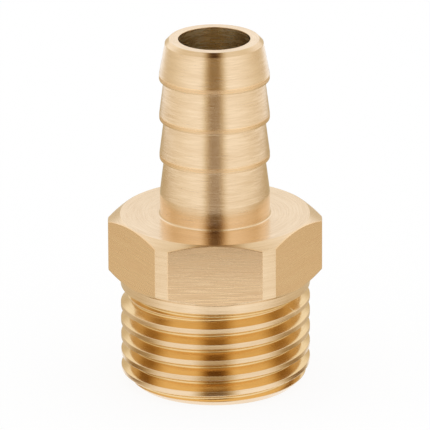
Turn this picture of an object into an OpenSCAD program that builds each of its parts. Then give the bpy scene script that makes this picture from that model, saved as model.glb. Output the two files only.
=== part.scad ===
/*
Brass hose adapter, turned in one piece from hexagon bar. A right-hand G 1/2 male thread
at the bottom, a spanner hexagon above it, and a barbed tail that a 12 mm hose is pushed
over.
One bore runs straight through. The part stands on its thread's end face, with the bore
on the Z axis and one flat of the hexagon facing -Y. All sizes are in millimetres.
*/

/* [Bore] */

// Diameter of the hole through the whole part
bore_d = 7.8; // [4:0.1:8.6]

// Lead-in chamfer of the bore at the thread's end
bore_chamfer = 0.5; // [0.1:0.1:2]

/* [Threaded end] */

// Diameter over the thread's crests, and of the plain collar under the hexagon
thread_d = 20.7; // [20.6:0.01:20.88]

// Distance from one turn of the thread to the next: 14 turns to the inch
thread_pitch = 1.814; // [1.7:0.002:2.4]

// Depth of the thread, from its crests to its root
thread_depth = 1.05; // [0.7:0.05:1.2]

// Angle between the two flanks of a groove
thread_angle = 55; // [45:1:60]

// Width of the flat at the bottom of a groove
groove_root = 0.2; // [0.1:0.05:0.3]

// Length from the end face to the hexagon
thread_len = 12; // [8:0.1:20]

// Plain collar left between the run-out groove and the hexagon
collar_len = 1; // [0.4:0.1:3]

// How much deeper the run-out groove is cut than the thread
runout_extra = 0.1; // [0.05:0.05:0.3]

// Where the last turn meets the middle of the run-out groove, around the axis from +X
runout_angle = -22.9; // [-180:0.1:180]

// Chamfer at the thread's start, the same along the axis and across
start_chamfer = 1.3; // [0.5:0.1:2]

/* [Hexagon] */

// Size across the flats
hex_af = 21; // [20:0.1:23]

// Height of the hexagon along the axis
hex_h = 7; // [4:0.1:14]

// Diameter that the six corners are turned down to
hex_corner_d = 23.36; // [23.1:0.02:24.2]

// Diameter of the flat ring left on top of the hexagon
hex_top_d = 20.7; // [16:0.1:22.8]

// Diameter of the flat ring left under the hexagon
hex_bottom_d = 20.9; // [20.9:0.1:22.8]

// Slope of the turned chamfers, measured from the flat rings
hex_chamfer_angle = 30; // [15:1:45]

/* [Hose tail] */

// Number of barbs
barb_count = 3; // [1:1:8]

// Distance from one barb to the next
barb_pitch = 4.5; // [2.5:0.1:9]

// Diameter over the barbs
barb_d = 12; // [11.2:0.1:15]

// Diameter at the bottom of the notch under each barb
notch_d = 11; // [9.2:0.1:11.8]

// Length of the cylindrical land at each barb's largest diameter
barb_land = 0.5; // [0.1:0.05:1.5]

// Height of the steep back under each land
barb_back = 0.1; // [0.05:0.05:0.8]

// Length from the top barb's land to the tip
lead_len = 4; // [2:0.1:10]

// Diameter at the upper end of the lead-in cone
tip_d = 10.7; // [10.1:0.1:11.2]

// Chamfer at the tip's outer edge
tip_chamfer = 0.45; // [0.1:0.05:0.7]

// Diameter of the plain neck above the hexagon
neck_d = 12; // [11.9:0.1:15]

// Length of the plain neck
neck_len = 2.5; // [0.8:0.1:10]

// Radius left by the tool at the foot of the neck
neck_foot_r = 0.15; // [0.05:0.05:0.6]

/* [Hidden] */

$fn = 96;

hex_sides = 6;

// The tail and the threaded end each reach this far into the hexagon
joint_depth = 1;

// The bore's cutter passes each end face by this much
cut_past = 1;

// Heights up the axis, from the thread's end face
hex_z = thread_len;
tail_z = hex_z + hex_h;
tail_len = neck_len + barb_count * barb_pitch + lead_len;
total_len = tail_z + tail_len;

// Thread: the groove that is cut has this half width at its crests
crest_r = thread_d / 2;
root_r = crest_r - thread_depth;
flank_slope = tan(thread_angle / 2);
groove_half_w = groove_root / 2 + thread_depth * flank_slope;

// The thread's cutter reaches a little past the crests, along the same flanks. Its facets
// touch the root circle at their middles.
cutter_past = 0.1;
cutter_r = crest_r + cutter_past;
cutter_half_w = groove_half_w + cutter_past * flank_slope;
facets_per_turn = 36;
cutter_root_r = root_r / cos(180 / facets_per_turn);

// Run-out groove: as the thread's, and deeper
runout_root_r = root_r - runout_extra;
runout_half_w = groove_half_w + runout_extra * flank_slope;
runout_z = thread_len - collar_len - runout_half_w;

// The cutter winds down from the run-out groove until it is clear of the end face
cutter_steps = ceil((runout_z + cutter_half_w) / thread_pitch * facets_per_turn);

// Height of a turned chamfer of the hexagon, from a flat ring out to the corners
function hex_chamfer_h(ring_d) = (hex_corner_d - ring_d) / 2 * tan(hex_chamfer_angle);

// Corners of one barb's outline below its land's upper edge, which lies at height z
function barb_points(z) = [
    [notch_d / 2, z - barb_land - barb_back],
    [barb_d / 2, z - barb_land],
    [barb_d / 2, z],
];

// Brass, as it comes off the lathe
module brass() {
    color([0.82, 0.66, 0.40]) children();
}

// Neck, barbs and lead-in cone, as one turned outline with its foot at height 0
module tail_outline() {
    polygon(concat(
        [[0, -joint_depth], [neck_d / 2, -joint_depth], [neck_d / 2, neck_len]],
        [for (i = [1 : barb_count]) each barb_points(neck_len + i * barb_pitch)],
        [
            [tip_d / 2, tail_len - tip_chamfer],
            [tip_d / 2 - tip_chamfer, tail_len],
            [0, tail_len],
        ]
    ));
}

// The small quarter-round between the neck and the top of the hexagon
module foot_outline() {
    difference() {
        translate([0, -joint_depth])
            square([neck_d / 2 + neck_foot_r, joint_depth + neck_foot_r]);
        translate([neck_d / 2 + neck_foot_r, neck_foot_r]) circle(r = neck_foot_r);
    }
}

module hose_tail() {
    translate([0, 0, tail_z])
        rotate_extrude() {
            tail_outline();
            foot_outline();
        }
}

// Six flats, with the corners turned down and a turned chamfer above and below
module hexagon() {
    low_h = hex_chamfer_h(hex_bottom_d);
    top_h = hex_chamfer_h(hex_top_d);
    translate([0, 0, hex_z])
        intersection() {
            cylinder(h = hex_h, d = hex_af / cos(180 / hex_sides), $fn = hex_sides);
            rotate_extrude()
                polygon([
                    [0, 0],
                    [hex_bottom_d / 2, 0],
                    [hex_corner_d / 2, low_h],
                    [hex_corner_d / 2, hex_h - top_h],
                    [hex_top_d / 2, hex_h],
                    [0, hex_h],
                ]);
        }
}

// Start chamfer, crests, run-out groove and plain collar, before the thread is cut
module thread_blank() {
    rotate_extrude()
        polygon([
            [0, 0],
            [crest_r - start_chamfer, 0],
            [crest_r, start_chamfer],
            [crest_r, runout_z - runout_half_w],
            [runout_root_r, runout_z - groove_root / 2],
            [runout_root_r, runout_z + groove_root / 2],
            [crest_r, runout_z + runout_half_w],
            [crest_r, thread_len + joint_depth],
            [0, thread_len + joint_depth],
        ]);
}

// The cutter's section, as [distance from the axis, height over the groove's middle]
cutter_section = [
    [cutter_root_r, groove_root / 2],
    [cutter_r, cutter_half_w],
    [cutter_r, -cutter_half_w],
    [cutter_root_r, -groove_root / 2],
];

// That section, a number of steps down a right-hand helix from the run-out groove
function cutter_ring(step) =
    let(
        angle = runout_angle - step * 360 / facets_per_turn,
        z = runout_z - step * thread_pitch / facets_per_turn
    )
    [for (corner = cutter_section)
        [corner[0] * cos(angle), corner[0] * sin(angle), z + corner[1]]];

// What the thread's groove is cut with: the section wound down the helix, with both ends closed
module thread_cutter() {
    sides = len(cutter_section);
    last_ring = cutter_steps * sides;
    polyhedron(
        points = [for (step = [0 : cutter_steps]) each cutter_ring(step)],
        faces = [
            [for (k = [sides - 1 : -1 : 0]) k],
            for (step = [0 : cutter_steps - 1], k = [0 : sides - 1])
                let(here = step * sides, next_k = (k + 1) % sides)
                [here + k, here + next_k, here + sides + next_k, here + sides + k],
            [for (k = [0 : sides - 1]) last_ring + k],
        ]
    );
}

module threaded_end() {
    difference() {
        thread_blank();
        thread_cutter();
    }
}

// The hole through the part, with its lead-in chamfer at the thread's end
module through_bore() {
    translate([0, 0, -cut_past]) {
        cylinder(d = bore_d, h = total_len + 2 * cut_past);
        cylinder(
            d1 = bore_d + 2 * (bore_chamfer + cut_past),
            d2 = bore_d,
            h = bore_chamfer + cut_past
        );
    }
}

module hose_adapter() {
    brass()
        difference() {
            union() {
                threaded_end();
                hexagon();
                hose_tail();
            }
            through_bore();
        }
}

hose_adapter();
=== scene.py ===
from collections import namedtuple
import math

import bmesh
import bpy
import numpy as np
from mathutils import Matrix, Vector


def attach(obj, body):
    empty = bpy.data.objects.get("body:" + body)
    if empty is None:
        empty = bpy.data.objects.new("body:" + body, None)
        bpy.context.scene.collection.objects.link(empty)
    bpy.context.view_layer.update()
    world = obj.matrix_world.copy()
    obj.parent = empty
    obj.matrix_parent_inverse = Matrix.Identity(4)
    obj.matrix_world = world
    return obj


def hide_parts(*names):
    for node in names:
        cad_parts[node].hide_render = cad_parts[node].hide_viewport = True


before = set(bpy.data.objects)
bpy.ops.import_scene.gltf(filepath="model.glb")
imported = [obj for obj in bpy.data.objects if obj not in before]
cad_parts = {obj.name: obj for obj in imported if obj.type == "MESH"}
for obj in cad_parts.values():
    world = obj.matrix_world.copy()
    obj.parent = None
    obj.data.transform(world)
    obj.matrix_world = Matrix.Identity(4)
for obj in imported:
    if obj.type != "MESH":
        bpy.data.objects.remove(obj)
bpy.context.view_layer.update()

# The brass hose adapter, dressed as one closed mesh and set in a plain white studio.
# The adapter's sizes are in millimetres, as in its solid, with radii for its diameters.
MM = 0.001

BORE_R = 3.9
BORE_CHAMFER = 0.5

THREAD_R = 10.35
THREAD_MINOR_R = 9.3
THREAD_PITCH = 1.814
THREAD_LEN = 12.0
THREAD_ANGLE = math.radians(55)
THREAD_ROOT = 0.2
COLLAR_LEN = 1.0
RUNOUT_EXTRA = 0.1
RUNOUT_ANGLE = math.radians(-22.9)
START_CHAMFER = 1.3

HEX_SIDES = 6
HEX_FLAT_R = 10.5
HEX_CORNER_R = 11.68
HEX_H = 7.0
HEX_TOP_R = 10.35
HEX_BOTTOM_R = 10.45
HEX_CHAMFER = math.radians(30)

BARB_COUNT = 3
BARB_PITCH = 4.5
BARB_R = 6.0
NOTCH_R = 5.5
BARB_LAND = 0.5
BARB_BACK = 0.1
LEAD_LEN = 4.0
TIP_R = 5.35
TIP_CHAMFER = 0.45
NECK_R = 6.0
NECK_LEN = 2.5
NECK_FOOT = 0.15

# Heights up the axis, from the thread's end face
HEX_Z = THREAD_LEN
TAIL_Z = HEX_Z + HEX_H
TOTAL_H = TAIL_Z + NECK_LEN + BARB_COUNT * BARB_PITCH + LEAD_LEN

# A flank of the thread rises by FLANK_SLOPE for each millimetre along the axis. Then come half
# the widths of a groove at its root and at its crests. The run-out groove, which the names
# call the ring, is deeper, and so it is wider.
FLANK_SLOPE = 1 / math.tan(THREAD_ANGLE / 2)
HALF_ROOT = THREAD_ROOT / 2
HALF_GROOVE = HALF_ROOT + (THREAD_R - THREAD_MINOR_R) / FLANK_SLOPE
HALF_RING = HALF_GROOVE + RUNOUT_EXTRA / FLANK_SLOPE

# The ring's middle, and the height and angle of the last turn's middle where its lower edge
# meets the ring's. From there on the turn is lost in the ring.
RING_Z = THREAD_LEN - COLLAR_LEN - HALF_RING
TOP_TURN_Z = RING_Z - RUNOUT_EXTRA / FLANK_SLOPE
LAST_ANGLE = RUNOUT_ANGLE - math.tau * (RING_Z - TOP_TURN_Z) / THREAD_PITCH

# The start chamfer's radius at the end face, the height at which it meets the thread's root,
# the height that no groove passes on its way down, and how many grooves each column has
START_R = THREAD_R - START_CHAMFER
FADE_Z = THREAD_MINOR_R - START_R
START_HOLD_Z = 0.06
TURNS = math.ceil((TOP_TURN_Z - START_HOLD_Z) / THREAD_PITCH)

# How far each kind of edge is broken or rounded. The ridge between the ring and the last turn
# has its full rounding once they overlap by RIDGE_OVERLAP.
EDGE = 0.05
LAND_EDGE = 0.08
THREAD_EDGE = 0.06
ROOT_ROUND = 0.09
RIDGE_OVERLAP = 0.15

# The mesh: columns around the axis, points on each rounded corner, and the plain strip
# beside a corner that keeps its shading off the wide surface next to it
COLUMNS = 360
CORNER_POINTS = 3
HOLD = 0.12

# How much of the shorter side next to a corner its rounding may take, and its rounding and
# its strip together
ROUND_SHARE = 0.45
HOLD_SHARE = 0.49

# The outline is straight where it bends by less, and corners are at one place within SAME
STRAIGHT = math.radians(0.5)
SAME = 1e-7

# Each edge of a flat has a column on it, one CREASE away to each side, and no other in CLEAR
CREASE = math.radians(0.25)
CLEAR = 1.5 * CREASE

# Points this close are merged, which closes the mesh where corners or columns run together
MERGE = 1e-4

# A corner of the outline. zone names the surface from it to the next corner, and hold says
# whether it has the plain strips at its sides.
Corner = namedtuple("Corner", "r z rounding zone hold", defaults=(EDGE, "turned", True))

# The brass of one zone: its two tints, its shine, how many tool marks it has to a metre, how
# deep they look, and whether they are rings, as on turned faces, or level lines
Finish = namedtuple("Finish", "name pale deep roughness anisotropy marks bump rings")

# The plain zone is the hexagon's flats and the barbs' lands
TURNED = Finish("turned_brass", (0.94, 0.73, 0.49), (0.83, 0.61, 0.38), 0.22, 0.5, 7000, 0.3, True)
# Its tints are warmer than the turned brass's: painted warm light, which these faces reflect from
# the floor in front
PLAIN = Finish("bar_brass", (0.97, 0.71, 0.43), (0.93, 0.65, 0.38), 0.28, 0.3, 6000, 0.0, False)
# The thread's tints are deeper than the turned brass's: painted shade, for the warm dark in its
# grooves
THREAD = Finish("thread_brass", (0.90, 0.66, 0.34), (0.83, 0.58, 0.27), 0.16, 0.5, 7000, 0.0, True)
BORE = Finish("bore_brass", (0.98, 0.84, 0.58), (0.84, 0.66, 0.40), 0.26, 0.7, 5000, 0.25, True)
FINISHES = {"turned": TURNED, "plain": PLAIN, "thread": THREAD, "bore": BORE}
ZONES = list(FINISHES)

# A number that goes from at_low to at_high as another goes from low to high
Ramp = namedtuple("Ramp", "low high at_low at_high", defaults=(0.0, 1.0))

# The tool marks are fine noise and coarse noise, which is wider by 1 / COARSE_SHARE. Each has
# a scale for how fast it changes around the axis. Both tint the brass, and the fine noise
# alone sets its bumps and its roughness, as a share of the finish's own.
COARSE_AROUND = 1.5
COARSE_SHARE = 0.2
FINE_AROUND = 3.0
NOISE_DETAIL = 1.0
TINT_BY_NOISE = Ramp(0.6, 1.4)
ROUGHNESS_BY_NOISE = Ramp(0.3, 0.7, 0.75, 1.25)
MARK_DEPTH = 0.02 * MM

# How much of the pale tint an edge takes, by the angle through which it turns outward. The paler
# edge is a painted highlight.
PAINTED_EDGE_HIGHLIGHT = Ramp(0.2, 1.2, 0.0, 0.5)

# The quarter turn that spreads the shine across the tool marks, and the clear shine on top
SHINE_TURN = 0.25
COAT = 0.6
COAT_ROUGHNESS = 0.2

# The studio, in metres: the floor and how much of its white takes the shadow, and the cards.
# The floor lies a little below the adapter, and the card with the painted floor shade a little
# above the floor.
WHITE = (1, 1, 1, 1)
FLOOR_SIZE = 6.0
FLOOR_SHADOW = 0.12
TENT_R = 0.2
SHADE_CARD_R = 0.12
SHADE_CARD_H = 0.00002
CARD_SIDES = 96

# A card's glow turns brown as it dims, because its green and blue fall faster than its red. On the
# card round the foot this browns the painted floor shade.
GREEN_POWER = 1.35
BLUE_POWER = 2.1

# The tent, by x to either side, y away from the camera and z up, as shares of its radius
TENT_PAPER_BY_Y = Ramp(-0.9, 0.7, 1.0, 0.66)
TENT_BACK_BY_Y = Ramp(0.0, 0.5)
TENT_HIGH_BY_Z = Ramp(0.25, 0.45)
SLIT_EDGE_BY_X = Ramp(0.10, 0.50)
SLIT_END_BY_Y = Ramp(0.1, 0.5)
SLIT_NARROWING_BY_Z = Ramp(0.6, 0.85, 1.0, 1.8)
SLIT_FOOT_BY_Z = Ramp(0.1, 0.17, 0.2, 0.36)
SLIT_DARK_BY_Z = Ramp(0.22, 0.4)
SLIT_LEVEL = 0.06

# The card with the painted floor shade, by the direction from the axis: x to either side and y
# away from the camera
CENTRE_END_BY_Y = Ramp(0.0, 0.4)
SIDE_START_BY_Y = Ramp(-0.7, -0.25)
SIDE_END_BY_Y = Ramp(-0.1, 0.4, 1.0, 0.0)
FOOT_BY_X = Ramp(0.08, 0.36, 0.1, 1.0)
FOOT_SIDE_LEVEL = 0.2
NEAR_BY_X = Ramp(0.08, 0.42)
NEAR_BY_Y = Ramp(-0.3, 0.6, 0.92, 0.6)
NEAR_DIM_LEVEL = 0.35
FAR_BY_X = Ramp(0.12, 0.44)
FAR_BY_Y = Ramp(-0.7, 0.5, 0.95, 0.64)
POOL_WIDTH_BY_Y = Ramp(-0.92, -0.75, 1.0, 0.0)

# The card with the painted floor shade, by the distance from the axis in metres
FOOT_START_BY_R = Ramp(0.012, 0.013)
NEAR_START_BY_R = Ramp(0.015, 0.018)
FAR_START_BY_R = Ramp(0.028, 0.038)
FAR_RIM_BY_R = Ramp(0.066, 0.072, 1.0, 0.8)
FAR_CENTRE_BY_R = Ramp(0.066, 0.078, 0.04, 0.3)
POOL_START_BY_R = Ramp(0.018, 0.040)
POOL_END_BY_R = Ramp(0.055, 0.061, 1.0, 0.0)

# The camera, fitted to the adapter's outline in the photograph, in millimetres
CAMERA_AWAY = 740
CAMERA_AIM_Z = 18.72
CAMERA_TILT = math.radians(19.91)
CAMERA_ROLL = math.radians(-0.27)
LENS_LEN = 568.4
SENSOR_W = 36
CLIP_NEAR = 10
CLIP_FAR = 100000


def chamfer_drop(radius, ring_r):
    """How far a turned chamfer of the hexagon falls from its flat ring out to a radius."""
    return (radius - ring_r) * math.tan(HEX_CHAMFER)


def hex_radius(angle):
    """The hexagon's outer radius at an angle, with its corners turned down."""
    sector = math.tau / HEX_SIDES
    off_flat = angle % sector - sector / 2
    return min(HEX_FLAT_R / math.cos(off_flat), HEX_CORNER_R)


def tail_corners():
    """Tip, barbs and neck, down the outside."""
    corners = [
        Corner(BORE_R, TOTAL_H),
        Corner(TIP_R - TIP_CHAMFER, TOTAL_H),
        Corner(TIP_R, TOTAL_H - TIP_CHAMFER),
    ]
    land_z = TOTAL_H - LEAD_LEN
    for _ in range(BARB_COUNT):
        corners += [
            Corner(BARB_R, land_z, LAND_EDGE, "plain"),
            Corner(BARB_R, land_z - BARB_LAND),
            Corner(NOTCH_R, land_z - BARB_LAND - BARB_BACK),
        ]
        land_z -= BARB_PITCH
    corners += [
        Corner(NECK_R, TAIL_Z + NECK_LEN, LAND_EDGE),
        Corner(NECK_R, TAIL_Z, NECK_FOOT),
    ]
    return corners


def hex_corners(angle):
    """The hexagon's top ring, upper chamfer, side, lower chamfer and bottom ring."""
    side_r = hex_radius(angle)
    side = "turned" if side_r >= HEX_CORNER_R else "plain"
    return [
        Corner(HEX_TOP_R, TAIL_Z),
        Corner(side_r, TAIL_Z - chamfer_drop(side_r, HEX_TOP_R), zone=side),
        Corner(side_r, HEX_Z + chamfer_drop(side_r, HEX_BOTTOM_R)),
        Corner(HEX_BOTTOM_R, HEX_Z, hold=False),
        Corner(THREAD_R, HEX_Z, hold=False),
    ]


def blank_r(z):
    """The turned blank's radius under the thread, with its start chamfer."""
    return min(THREAD_R, START_R + z)


def groove_corners(z):
    """One groove of the thread at height z, cut into the blank: its upper edge, the two
    corners of its root and its lower edge. It fades out where it meets the start chamfer."""
    root_top, root_low = z + HALF_ROOT, z - HALF_ROOT
    top, low = z + HALF_GROOVE, z - HALF_GROOVE
    if top < START_CHAMFER:
        top = (FLANK_SLOPE * root_top - FADE_Z) / (FLANK_SLOPE - 1)
    if root_low < FADE_Z:
        root_low = low = FADE_Z
    elif low < START_CHAMFER:
        low = (FADE_Z + FLANK_SLOPE * root_low) / (FLANK_SLOPE + 1)
    if root_top < FADE_Z:
        gone = max(root_top, START_HOLD_Z)
        top = root_top = root_low = low = gone
    root_r = min(THREAD_MINOR_R, blank_r(root_top))
    return [
        Corner(blank_r(top), top, THREAD_EDGE),
        Corner(root_r, root_top, ROOT_ROUND),
        Corner(min(root_r, blank_r(root_low)), root_low, ROOT_ROUND),
        Corner(blank_r(low), low, THREAD_EDGE),
    ]


def ring_corners():
    """The run-out groove, which is a little deeper than the thread's."""
    root_r = THREAD_MINOR_R - RUNOUT_EXTRA
    return [
        Corner(THREAD_R, RING_Z + HALF_RING, THREAD_EDGE),
        Corner(root_r, RING_Z + HALF_ROOT, ROOT_ROUND),
        Corner(root_r, RING_Z - HALF_ROOT, ROOT_ROUND),
        Corner(THREAD_R, RING_Z - HALF_RING, THREAD_EDGE),
    ]


def merge_with_ring(ring, groove, apart):
    """Lowers the ridge between the ring and the last turn as that turn runs into the ring.
    apart is how far the turn's lower edge lies below the ring's, and at 0 the turn is gone."""
    overlap = 2 * HALF_GROOVE - apart
    if overlap <= 0:
        return
    if apart < SAME:
        ring[3] = groove[0] = groove[1] = groove[2] = groove[3]
        return
    half = max(apart, THREAD_ROOT) / 2
    ridge_r = THREAD_MINOR_R + (half - HALF_ROOT) * FLANK_SLOPE
    rounding = THREAD_EDGE * min(1.0, overlap / RIDGE_OVERLAP)
    ridge = Corner(ridge_r, TOP_TURN_Z - half, rounding)
    ring[3] = groove[0] = ridge
    if apart < THREAD_ROOT:
        groove[1] = ridge


def zoned_groove(groove):
    """A groove's corners with their zones. Its lower edge begins the crest below it."""
    zones = ("thread", "thread", "thread", "turned")
    return [corner._replace(zone=zone, hold=False) for corner, zone in zip(groove, zones)]


def thread_corners(turn):
    """Run-out groove, the turns of the right-hand thread and its start chamfer. turn runs
    from -1 to 0, and at 0 the last turn lies wholly in the run-out groove."""
    ring = ring_corners()
    grooves = [groove_corners(TOP_TURN_Z + THREAD_PITCH * (turn - k)) for k in range(TURNS)]
    merge_with_ring(ring, grooves[0], -THREAD_PITCH * turn)
    corners = zoned_groove(ring)
    for k, groove in enumerate(grooves):
        below = grooves[k + 1][0].z if k + 1 < TURNS else START_HOLD_Z
        crest_z = min(max(START_CHAMFER, below), groove[3].z)
        corners += zoned_groove(groove)
        corners.append(Corner(blank_r(crest_z), crest_z, THREAD_EDGE, hold=False))
    corners.append(Corner(blank_r(START_HOLD_Z), START_HOLD_Z, THREAD_EDGE, hold=False))
    corners.append(Corner(START_R, 0))
    return corners


def bore_corners():
    """The bore's lead-in chamfer. The bore's wall closes the outline."""
    return [
        Corner(BORE_R + BORE_CHAMFER, 0, zone="bore"),
        Corner(BORE_R, BORE_CHAMFER, zone="bore"),
    ]


def group_corners(corners):
    """The corners in order, in groups that lie at one place."""
    groups = []
    for corner in corners:
        last = groups[-1][-1] if groups else None
        if last and math.hypot(corner.r - last.r, corner.z - last.z) < SAME:
            groups[-1].append(corner)
        else:
            groups.append([corner])
    return groups


def corner_shape(before, corner, after):
    """A corner's place, the directions from it to both neighbours, the distance to the closer
    one, and how sharply the outline turns there: above 0 outward, below 0 inward."""
    p0, p1, p2 = (np.array((c.r, c.z)) for c in (before, corner, after))
    length_in, length_out = np.linalg.norm(p0 - p1), np.linalg.norm(p2 - p1)
    back, ahead = (p0 - p1) / length_in, (p2 - p1) / length_out
    turn = math.pi - math.acos(max(-1.0, min(1.0, float(back @ ahead))))
    outward = ahead[0] * back[1] - ahead[1] * back[0]
    return p1, back, ahead, min(length_in, length_out), math.copysign(turn, outward)


def round_corner(before, corner, after):
    """A rounded corner's points, and the sharpness of each: its turn, and 0 on its strips."""
    place, back, ahead, shorter, turn = corner_shape(before, corner, after)
    reach = min(corner.rounding * math.tan(abs(turn) / 2), ROUND_SHARE * shorter)
    start, end = place + back * reach, place + ahead * reach
    points = []
    for step in range(CORNER_POINTS):
        t = step / (CORNER_POINTS - 1)
        points.append((1 - t) ** 2 * start + 2 * t * (1 - t) * place + t * t * end)
    sharpness = [turn] * CORNER_POINTS
    if corner.hold:
        strip = min(HOLD, HOLD_SHARE * shorter - reach)
        points = [start + back * strip] + points + [end + ahead * strip]
        sharpness = [0.0] + sharpness + [0.0]
    return points, sharpness


def find_bends(leads):
    """The numbers of the corners at which the outline isn't straight."""
    bends = []
    for i, lead in enumerate(leads):
        *_, turn = corner_shape(leads[i - 1], lead, leads[(i + 1) % len(leads)])
        if abs(turn) > STRAIGHT:
            bends.append(i)
    return bends


def point_count(corner):
    """How many points a corner has in every column."""
    return CORNER_POINTS + 2 * corner.hold


def slide_corner(corner, start, end):
    """The points of a corner on a straight stretch: all at the stretch's nearest place."""
    along = end - start
    here = np.array((corner.r, corner.z)) - start
    t = min(max(float(here @ along) / float(along @ along), 0.0), 1.0)
    count = point_count(corner)
    return [start + along * t] * count, [0.0] * count


def round_leads(leads):
    """Each corner's points and sharpness, with the ones that don't bend the outline slid
    onto the straight stretch between the bends beside them."""
    bends = find_bends(leads)
    made = [None] * len(leads)
    for n, i in enumerate(bends):
        before, after = leads[bends[n - 1]], leads[bends[(n + 1) % len(bends)]]
        made[i] = round_corner(before, leads[i], after)
    for i in set(range(len(leads))) - set(bends):
        n = np.searchsorted(bends, i)
        start = made[bends[n - 1]][0][-1]
        end = made[bends[n % len(bends)]][0][0]
        made[i] = slide_corner(leads[i], start, end)
    return made


def round_outline(corners):
    """The outline's points with every corner rounded, and each point's sharpness and zone.
    Each corner has the same number of points in every column. In a group at one place, the
    first corner is rounded and the others lie at its last point."""
    groups = group_corners(corners)
    leads = [group[0]._replace(rounding=group[-1].rounding) for group in groups]
    points, sharpness, zones = [], [], []
    for group, (here, sharp) in zip(groups, round_leads(leads)):
        points += here
        sharpness += sharp
        zones += [group[0].zone] * len(here)
        for corner in group[1:]:
            count = point_count(corner)
            points += [here[-1]] * count
            sharpness += [sharp[-1]] * count
            zones += [corner.zone] * count
    return points, sharpness, zones


def column_angles(first):
    """The columns' angles over one turn, with three at each edge of the hexagon's flats."""
    half_flat = math.acos(HEX_FLAT_R / HEX_CORNER_R)
    middles = [(k + 0.5) * math.tau / HEX_SIDES for k in range(HEX_SIDES)]
    creases = [middle + side * half_flat for middle in middles for side in (-1, 1)]
    creases = sorted(first + (a - first) % math.tau for a in creases)
    plain = [first + k * math.tau / COLUMNS for k in range(COLUMNS + 1)]
    keep = [a for a in plain if min(abs(a - c) for c in creases) > CLEAR]
    return sorted(keep + [c + side * CREASE for c in creases for side in (-1, 0, 1)])


def body_grid():
    """The body's points, column by column, with each point's sharpness and zone. The first
    column and the last lie where the thread's last turn is lost in the run-out groove."""
    columns, sharp, zones = [], [], []
    for angle in column_angles(LAST_ANGLE - math.tau):
        corners = tail_corners() + hex_corners(angle)
        corners += thread_corners((angle - LAST_ANGLE) / math.tau) + bore_corners()
        outline, sharpness, column_zones = round_outline(corners)
        columns.append([(r * math.cos(angle), r * math.sin(angle), z) for r, z in outline])
        sharp.append(sharpness)
        zones.append(column_zones)
    return np.array(columns) * MM, np.array(sharp), zones


def body_mesh(name):
    """The whole body as one closed mesh of columns, with a material number for each zone.
    A face that is plain in one of its two columns is plain."""
    columns, sharp, zones = body_grid()
    bm = bmesh.new()
    layer = bm.verts.layers.float.new("sharpness")
    grid = []
    for places, values in zip(columns, sharp):
        grid.append([bm.verts.new(place) for place in places])
        for vert, value in zip(grid[-1], values):
            vert[layer] = value
    for i in range(len(grid) - 1):
        for j, zone in enumerate(zones[i]):
            k = (j + 1) % len(zones[i])
            face = bm.faces.new((grid[i][j], grid[i][k], grid[i + 1][k], grid[i + 1][j]))
            is_plain = "plain" in (zone, zones[i + 1][j])
            face.material_index = ZONES.index("plain" if is_plain else zone)
            face.smooth = True
    bmesh.ops.remove_doubles(bm, verts=bm.verts, dist=MERGE * MM)
    mesh = bpy.data.meshes.new(name)
    bm.to_mesh(mesh)
    bm.free()
    set_area_normals(mesh)
    return mesh


def set_area_normals(mesh):
    """Shades each point by the area of the faces round it, so that wide faces stay flat."""
    count = len(mesh.polygons)
    normals, areas = np.zeros(count * 3), np.zeros(count)
    mesh.polygons.foreach_get("normal", normals)
    mesh.polygons.foreach_get("area", areas)
    sizes = np.zeros(count, int)
    mesh.polygons.foreach_get("loop_total", sizes)
    corners = np.zeros(len(mesh.loops), int)
    mesh.loops.foreach_get("vertex_index", corners)
    weighted = np.repeat(normals.reshape(-1, 3) * areas[:, None], sizes, axis=0)
    total = np.zeros((len(mesh.vertices), 3))
    np.add.at(total, corners, weighted)
    total /= np.linalg.norm(total, axis=1)[:, None]
    mesh.normals_split_custom_set_from_vertices(total.tolist())


def set_inputs(tree, node, inputs):
    """Gives a node's inputs, by name or number, a value or a link from another socket."""
    for key, value in inputs.items():
        if isinstance(value, bpy.types.NodeSocket):
            tree.links.new(value, node.inputs[key])
        else:
            node.inputs[key].default_value = value


def new_node(tree, kind, inputs=None, **settings):
    """Adds a node with its settings and inputs."""
    made = tree.nodes.new(kind)
    for name, value in settings.items():
        setattr(made, name, value)
    set_inputs(tree, made, inputs or {})
    return made


def math_node(tree, operation, a, b=0.0):
    """A number worked out from one or two others."""
    return new_node(tree, "ShaderNodeMath", {0: a, 1: b}, operation=operation).outputs[0]


def times(tree, a, b):
    """The product of two numbers."""
    return math_node(tree, "MULTIPLY", a, b)


def vector_node(tree, operation, inputs):
    """The outputs of a sum with vectors."""
    return new_node(tree, "ShaderNodeVectorMath", inputs, operation=operation).outputs


def split(tree, vector):
    """A vector's x, y and z."""
    return new_node(tree, "ShaderNodeSeparateXYZ", {0: vector}).outputs


def join(tree, x, y, z):
    """A vector from its x, y and z."""
    return new_node(tree, "ShaderNodeCombineXYZ", {0: x, 1: y, 2: z}).outputs[0]


def linear(tree, value, ramp, kind="LINEAR"):
    """The number that a ramp gives for a value."""
    ends = {1: ramp.low, 2: ramp.high, 3: ramp.at_low, 4: ramp.at_high}
    inputs = {"Value": value, **ends}
    return new_node(tree, "ShaderNodeMapRange", inputs, interpolation_type=kind).outputs[0]


def smooth(tree, value, ramp):
    """The same, with soft ends."""
    return linear(tree, value, ramp, "SMOOTHSTEP")


def blend(tree, share, a, b):
    """A number that goes from a to b as the share goes from 0 to 1."""
    return new_node(tree, "ShaderNodeMix", {0: share, 2: a, 3: b}).outputs[0]


def blend_colours(tree, share, a, b):
    """A colour that goes from a to b as the share goes from 0 to 1."""
    inputs = {0: share, 6: a, 7: b}
    return new_node(tree, "ShaderNodeMix", inputs, data_type="RGBA").outputs[2]


def around_axis(tree):
    """The direction from the axis to each point, the distance from it and the height."""
    x, y, z = split(tree, new_node(tree, "ShaderNodeTexCoord").outputs["Object"])
    flat = join(tree, x, y, 0.0)
    radius = vector_node(tree, "LENGTH", {0: flat})["Value"]
    out = vector_node(tree, "NORMALIZE", {0: flat})[0]
    return out, radius, z


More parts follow.
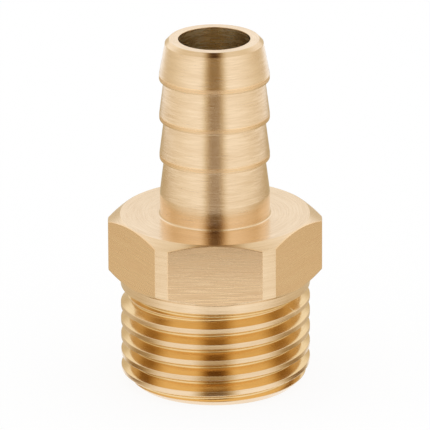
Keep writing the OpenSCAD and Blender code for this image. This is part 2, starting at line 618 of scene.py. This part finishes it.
def lathe_noise(tree, around, per_metre, rings):
    """Noise drawn out around the axis: into rings where the face is turned, as a lathe tool
    leaves it, and otherwise into level lines."""
    out, radius, z = around_axis(tree)
    x, y, _ = split(tree, vector_node(tree, "SCALE", {0: out, "Scale": around})[0])
    inputs = {
        "Vector": join(tree, x, y, times(tree, z, per_metre)),
        "W": times(tree, radius, per_metre if rings else 0.0),
        "Scale": 1.0,
        "Detail": NOISE_DETAIL,
    }
    return new_node(tree, "ShaderNodeTexNoise", inputs, noise_dimensions="4D").outputs["Fac"]


def ring_tangent(tree):
    """The direction that runs around the axis, for the brushed shine."""
    place = new_node(tree, "ShaderNodeNewGeometry").outputs["Position"]
    cross = vector_node(tree, "CROSS_PRODUCT", {0: join(tree, 0.0, 0.0, 1.0), 1: place})[0]
    return vector_node(tree, "NORMALIZE", {0: cross})[0]


def brass_colour(tree, finish, noise):
    """The finish's two tints, blended by noise, with outward edges paler as a painted highlight.
    """
    pale, deep = (*finish.pale, 1), (*finish.deep, 1)
    colour = blend_colours(tree, linear(tree, noise, TINT_BY_NOISE), pale, deep)
    # Edges that turn outward take the pale tint: a painted highlight
    sharp = new_node(tree, "ShaderNodeAttribute", attribute_name="sharpness").outputs["Fac"]
    return blend_colours(tree, linear(tree, sharp, PAINTED_EDGE_HIGHLIGHT), colour, pale)


def brass(finish):
    """Brushed brass whose colour, roughness and height vary along its tool marks."""
    material = bpy.data.materials.new(finish.name)
    material.use_nodes = True
    tree = material.node_tree
    coarse = lathe_noise(tree, COARSE_AROUND, finish.marks * COARSE_SHARE, finish.rings)
    fine = lathe_noise(tree, FINE_AROUND, finish.marks, finish.rings)
    rough = linear(tree, fine, ROUGHNESS_BY_NOISE)
    bump = {"Height": fine, "Strength": finish.bump, "Distance": MARK_DEPTH}
    inputs = {
        "Base Color": brass_colour(tree, finish, math_node(tree, "ADD", coarse, fine)),
        "Metallic": 1.0,
        "Roughness": times(tree, rough, finish.roughness),
        "Normal": new_node(tree, "ShaderNodeBump", bump).outputs[0],
        "Tangent": ring_tangent(tree),
        "Anisotropic": finish.anisotropy,
        "Anisotropic Rotation": SHINE_TURN,
        "Coat Weight": COAT,
        "Coat Roughness": COAT_ROUGHNESS,
    }
    set_inputs(tree, tree.nodes["Principled BSDF"], inputs)
    return material


def adapter():
    """The whole adapter as one piece that stands for its solid."""
    body = bpy.data.objects.new("adapter_body", body_mesh("adapter_body"))
    bpy.context.scene.collection.objects.link(body)
    for finish in FINISHES.values():
        body.data.materials.append(brass(finish))
    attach(body, "root")
    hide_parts("hose_adapter")


def empty_material(piece, name):
    """Gives a piece a material with no shader yet: its node tree and its output's socket."""
    material = bpy.data.materials.new(name)
    material.use_nodes = True
    tree = material.node_tree
    tree.nodes.clear()
    piece.data.materials.append(material)
    return tree, new_node(tree, "ShaderNodeOutputMaterial").inputs["Surface"]


def glow(tree, colour):
    """A surface that shows a colour as it is, without light."""
    return new_node(tree, "ShaderNodeEmission", {"Color": colour, "Strength": 1.0}).outputs[0]


def floor():
    """A plain white floor. Most of its white is its own, so the adapter's shadow is faint."""
    bpy.ops.mesh.primitive_grid_add(size=FLOOR_SIZE)
    sheet = bpy.context.object
    sheet.name = "floor"
    sheet.data.transform(Matrix.Translation((0, 0, -SHADE_CARD_H)))
    tree, output = empty_material(sheet, "floor_white")
    lit = new_node(tree, "ShaderNodeBsdfDiffuse", {"Color": WHITE}).outputs[0]
    shares = {0: FLOOR_SHADOW, 1: glow(tree, WHITE), 2: lit}
    tree.links.new(new_node(tree, "ShaderNodeMixShader", shares).outputs[0], output)


def white_light():
    """Plain white light from all round."""
    world = bpy.data.worlds.new("white_light")
    bpy.context.scene.world = world
    world.use_nodes = True
    background = world.node_tree.nodes["Background"]
    set_inputs(world.node_tree, background, {"Color": WHITE, "Strength": 1.0})


def card(piece, name, level_of):
    """Makes a sheet a card, as a photographer sets beside shiny metal: its reflection shades the
    metal, and it is out of the picture. Its glow goes from white to brown as it dims."""
    piece.name = name
    tree, output = empty_material(piece, name)
    level = level_of(tree)
    green = math_node(tree, "POWER", level, GREEN_POWER)
    blue = math_node(tree, "POWER", level, BLUE_POWER)
    # The glow's colour. On the card round the foot it is painted floor shade and a painted pool of
    # light
    glow_colour = new_node(tree, "ShaderNodeCombineColor", {0: level, 1: green, 2: blue}).outputs[0]
    tree.links.new(glow(tree, glow_colour), output)
    piece.visible_camera = False
    piece.visible_diffuse = False
    piece.visible_shadow = False


def tent_level(tree):
    """The tent: white towards the camera, grey behind and white again high up behind. A dark
    slit runs up in front and over the top."""
    place = new_node(tree, "ShaderNodeTexCoord").outputs["Object"]
    x, y, z = split(tree, vector_node(tree, "SCALE", {0: place, "Scale": 1 / TENT_R})[0])
    narrow = smooth(tree, z, SLIT_NARROWING_BY_Z)
    from_slit = times(tree, math_node(tree, "ABSOLUTE", x), narrow)
    beside, behind = smooth(tree, from_slit, SLIT_EDGE_BY_X), smooth(tree, y, SLIT_END_BY_Y)
    off_slit = math_node(tree, "MAXIMUM", beside, behind)
    slit_foot = smooth(tree, z, SLIT_FOOT_BY_Z)
    slit = blend(tree, smooth(tree, z, SLIT_DARK_BY_Z), slit_foot, SLIT_LEVEL)
    level = blend(tree, off_slit, slit, smooth(tree, y, TENT_PAPER_BY_Y))
    high_behind = times(tree, smooth(tree, y, TENT_BACK_BY_Y), smooth(tree, z, TENT_HIGH_BY_Z))
    return blend(tree, high_behind, level, 1.0)


def foot_level(tree, radius, aside, side):
    """The painted floor shade round the adapter's foot: white at first, then painted shade in
    front and at both sides.
    """
    level = blend(tree, side, smooth(tree, aside, FOOT_BY_X), FOOT_SIDE_LEVEL)
    return blend(tree, smooth(tree, radius, FOOT_START_BY_R), 1.0, level)


def near_level(tree, y, aside, side):
    """The painted floor shade further out: pale, with painted shade in the centre in front and at
    both sides.
    """
    level = blend(tree, side, smooth(tree, y, NEAR_BY_Y), NEAR_DIM_LEVEL)
    return blend(tree, smooth(tree, aside, NEAR_BY_X), NEAR_DIM_LEVEL, level)


def far_level(tree, y, radius, aside):
    """The painted floor shade out to its rim: pale, with painted shade in the centre in front."""
    level = times(tree, smooth(tree, y, FAR_BY_Y), smooth(tree, radius, FAR_RIM_BY_R))
    centre = smooth(tree, radius, FAR_CENTRE_BY_R)
    return blend(tree, smooth(tree, aside, FAR_BY_X), centre, level)


def pool_share(tree, y, radius):
    """Where the card round the foot has its painted pool of light, in front of the adapter."""
    start, end = smooth(tree, radius, POOL_START_BY_R), smooth(tree, radius, POOL_END_BY_R)
    return times(tree, times(tree, start, end), smooth(tree, y, POOL_WIDTH_BY_Y))


def painted_floor_shade_level(tree):
    """The floor's shade and light, painted on a card round the foot, in three rings outward: foot,
    near and far. A dark stripe of painted shade runs out in front of the adapter, and the
    painted pool of light interrupts it."""
    out, radius, _ = around_axis(tree)
    x, y, _ = split(tree, out)
    across, behind = math_node(tree, "ABSOLUTE", x), smooth(tree, y, CENTRE_END_BY_Y)
    aside = math_node(tree, "MAXIMUM", across, behind)
    side = times(tree, smooth(tree, y, SIDE_START_BY_Y), smooth(tree, y, SIDE_END_BY_Y))
    foot = foot_level(tree, radius, aside, side)
    near = near_level(tree, y, aside, side)
    far = far_level(tree, y, radius, aside)
    level = blend(tree, smooth(tree, radius, NEAR_START_BY_R), foot, near)
    level = blend(tree, smooth(tree, radius, FAR_START_BY_R), level, far)
    return blend(tree, pool_share(tree, y, radius), level, 1.0)


def cards():
    """A round card like a tent over the adapter, and one that lies round its foot with painted
    floor shade and a painted pool of light on it.
    """
    rings = CARD_SIDES // 2
    bpy.ops.mesh.primitive_uv_sphere_add(segments=CARD_SIDES, ring_count=rings, radius=TENT_R)
    card(bpy.context.object, "tent_card", tent_level)
    # The card round the foot shows the metal painted floor shade and a painted pool of light
    bpy.ops.mesh.primitive_circle_add(vertices=CARD_SIDES, radius=SHADE_CARD_R, fill_type="TRIFAN")
    shade_card = bpy.context.object
    shade_card.data.transform(Matrix.Translation((0, 0, SHADE_CARD_H)))
    card(shade_card, "painted_floor_shade_card", painted_floor_shade_level)


def camera():
    """The camera at the photograph's angle: a long lens looking 20 degrees down."""
    lens = bpy.data.cameras.new("camera")
    lens.sensor_width = SENSOR_W
    lens.lens = LENS_LEN
    lens.clip_start = CLIP_NEAR * MM
    lens.clip_end = CLIP_FAR * MM
    made = bpy.data.objects.new("camera", lens)
    bpy.context.scene.collection.objects.link(made)
    away = Vector((0, -math.cos(CAMERA_TILT), math.sin(CAMERA_TILT)))
    place = Vector((0, 0, CAMERA_AIM_Z * MM)) + away * CAMERA_AWAY * MM
    look = away.to_track_quat("Z", "Y").to_matrix().to_4x4()
    roll = Matrix.Rotation(CAMERA_ROLL, 4, "Z")
    made.matrix_world = Matrix.Translation(place) @ look @ roll
    bpy.context.scene.camera = made


adapter()
floor()
white_light()
cards()
camera()
bpy.context.scene.view_settings.view_transform = "Standard"
